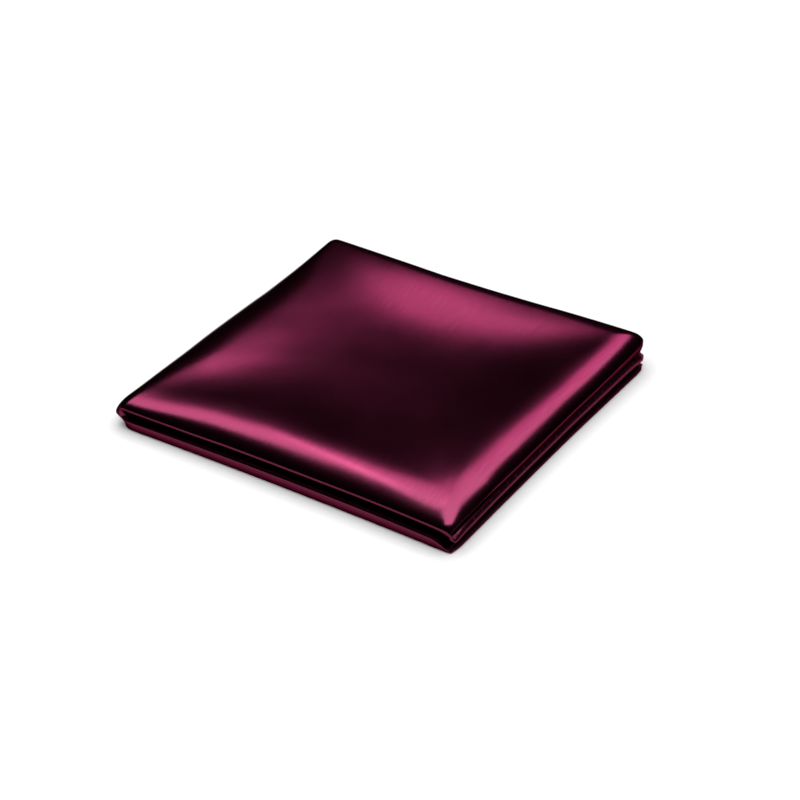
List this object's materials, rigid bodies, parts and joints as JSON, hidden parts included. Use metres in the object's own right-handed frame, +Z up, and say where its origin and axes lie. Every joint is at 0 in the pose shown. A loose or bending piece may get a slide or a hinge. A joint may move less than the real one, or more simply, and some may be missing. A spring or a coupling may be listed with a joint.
{
  "type": "folded pocket square",
  "caption": "Hemmed satin pocket square folded in quarters and laid flat, with soft rolled folds along the left sides and open hemmed layers along the right sides.",
  "frame": {"origin": "on the table under the middle of the folded square's bounding box", "axes": "+Z up out of the table; +X from the wrapped fold at the left back side to the open right front side; +Y from the rolled fold at the left front side to the open right back side"},
  "size_m": [0.1284, 0.1254, 0.0128],
  "materials": {
    "satin": "burgundy satin with a strong smooth sheen"
  },
  "bodies": {
    "root": {"showing_layer": "satin", "hidden_layers": "satin"}
  },
  "joints": []
}
